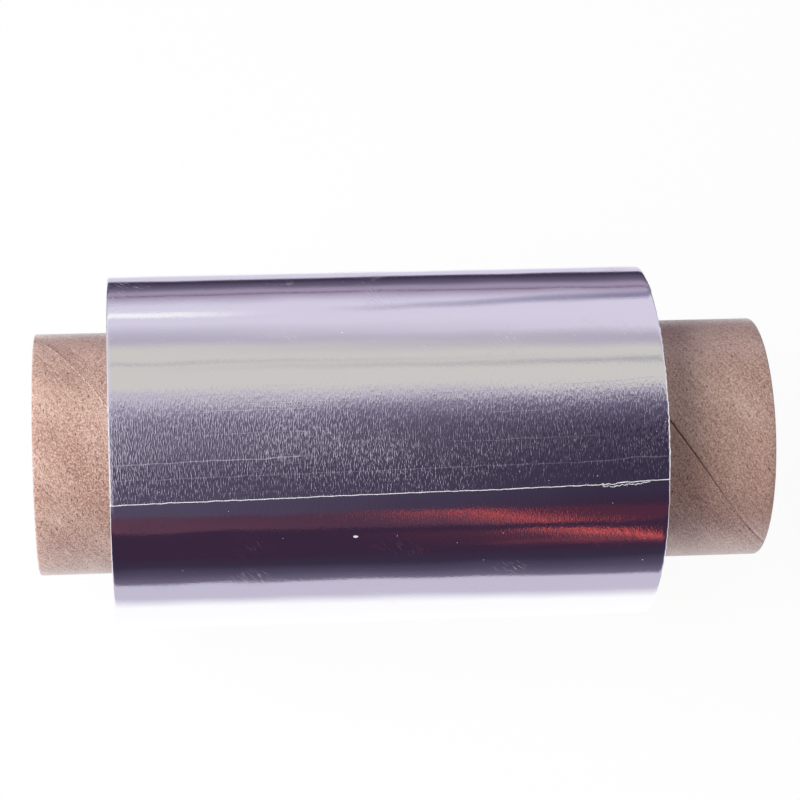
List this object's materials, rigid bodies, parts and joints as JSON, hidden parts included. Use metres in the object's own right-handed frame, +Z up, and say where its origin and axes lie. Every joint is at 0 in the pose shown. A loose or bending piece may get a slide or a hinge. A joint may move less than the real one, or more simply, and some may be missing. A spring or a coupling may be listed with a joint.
{
  "type": "aluminium foil roll",
  "caption": "Roll of thin aluminium foil wound on a longer cardboard tube core, bare at both ends, to be held on a spindle and unwound.",
  "frame": {"origin": "on the floor under the middle of the core's length, at the middle of the flat spot's width", "axes": "+X along the roll towards its longer bare stub, -Y towards the free edge of the foil, +Z up"},
  "size_m": [0.1626, 0.0797, 0.0795],
  "materials": {
    "core_board": "uncoated brown paperboard, spirally wound, with fine fibres and dark specks",
    "bright_foil": "bright rolled foil with fine rolling lines around the roll"
  },
  "bodies": {
    "root": {"cardboard_core": "core_board", "foil_winding": "bright_foil"}
  },
  "joints": []
}
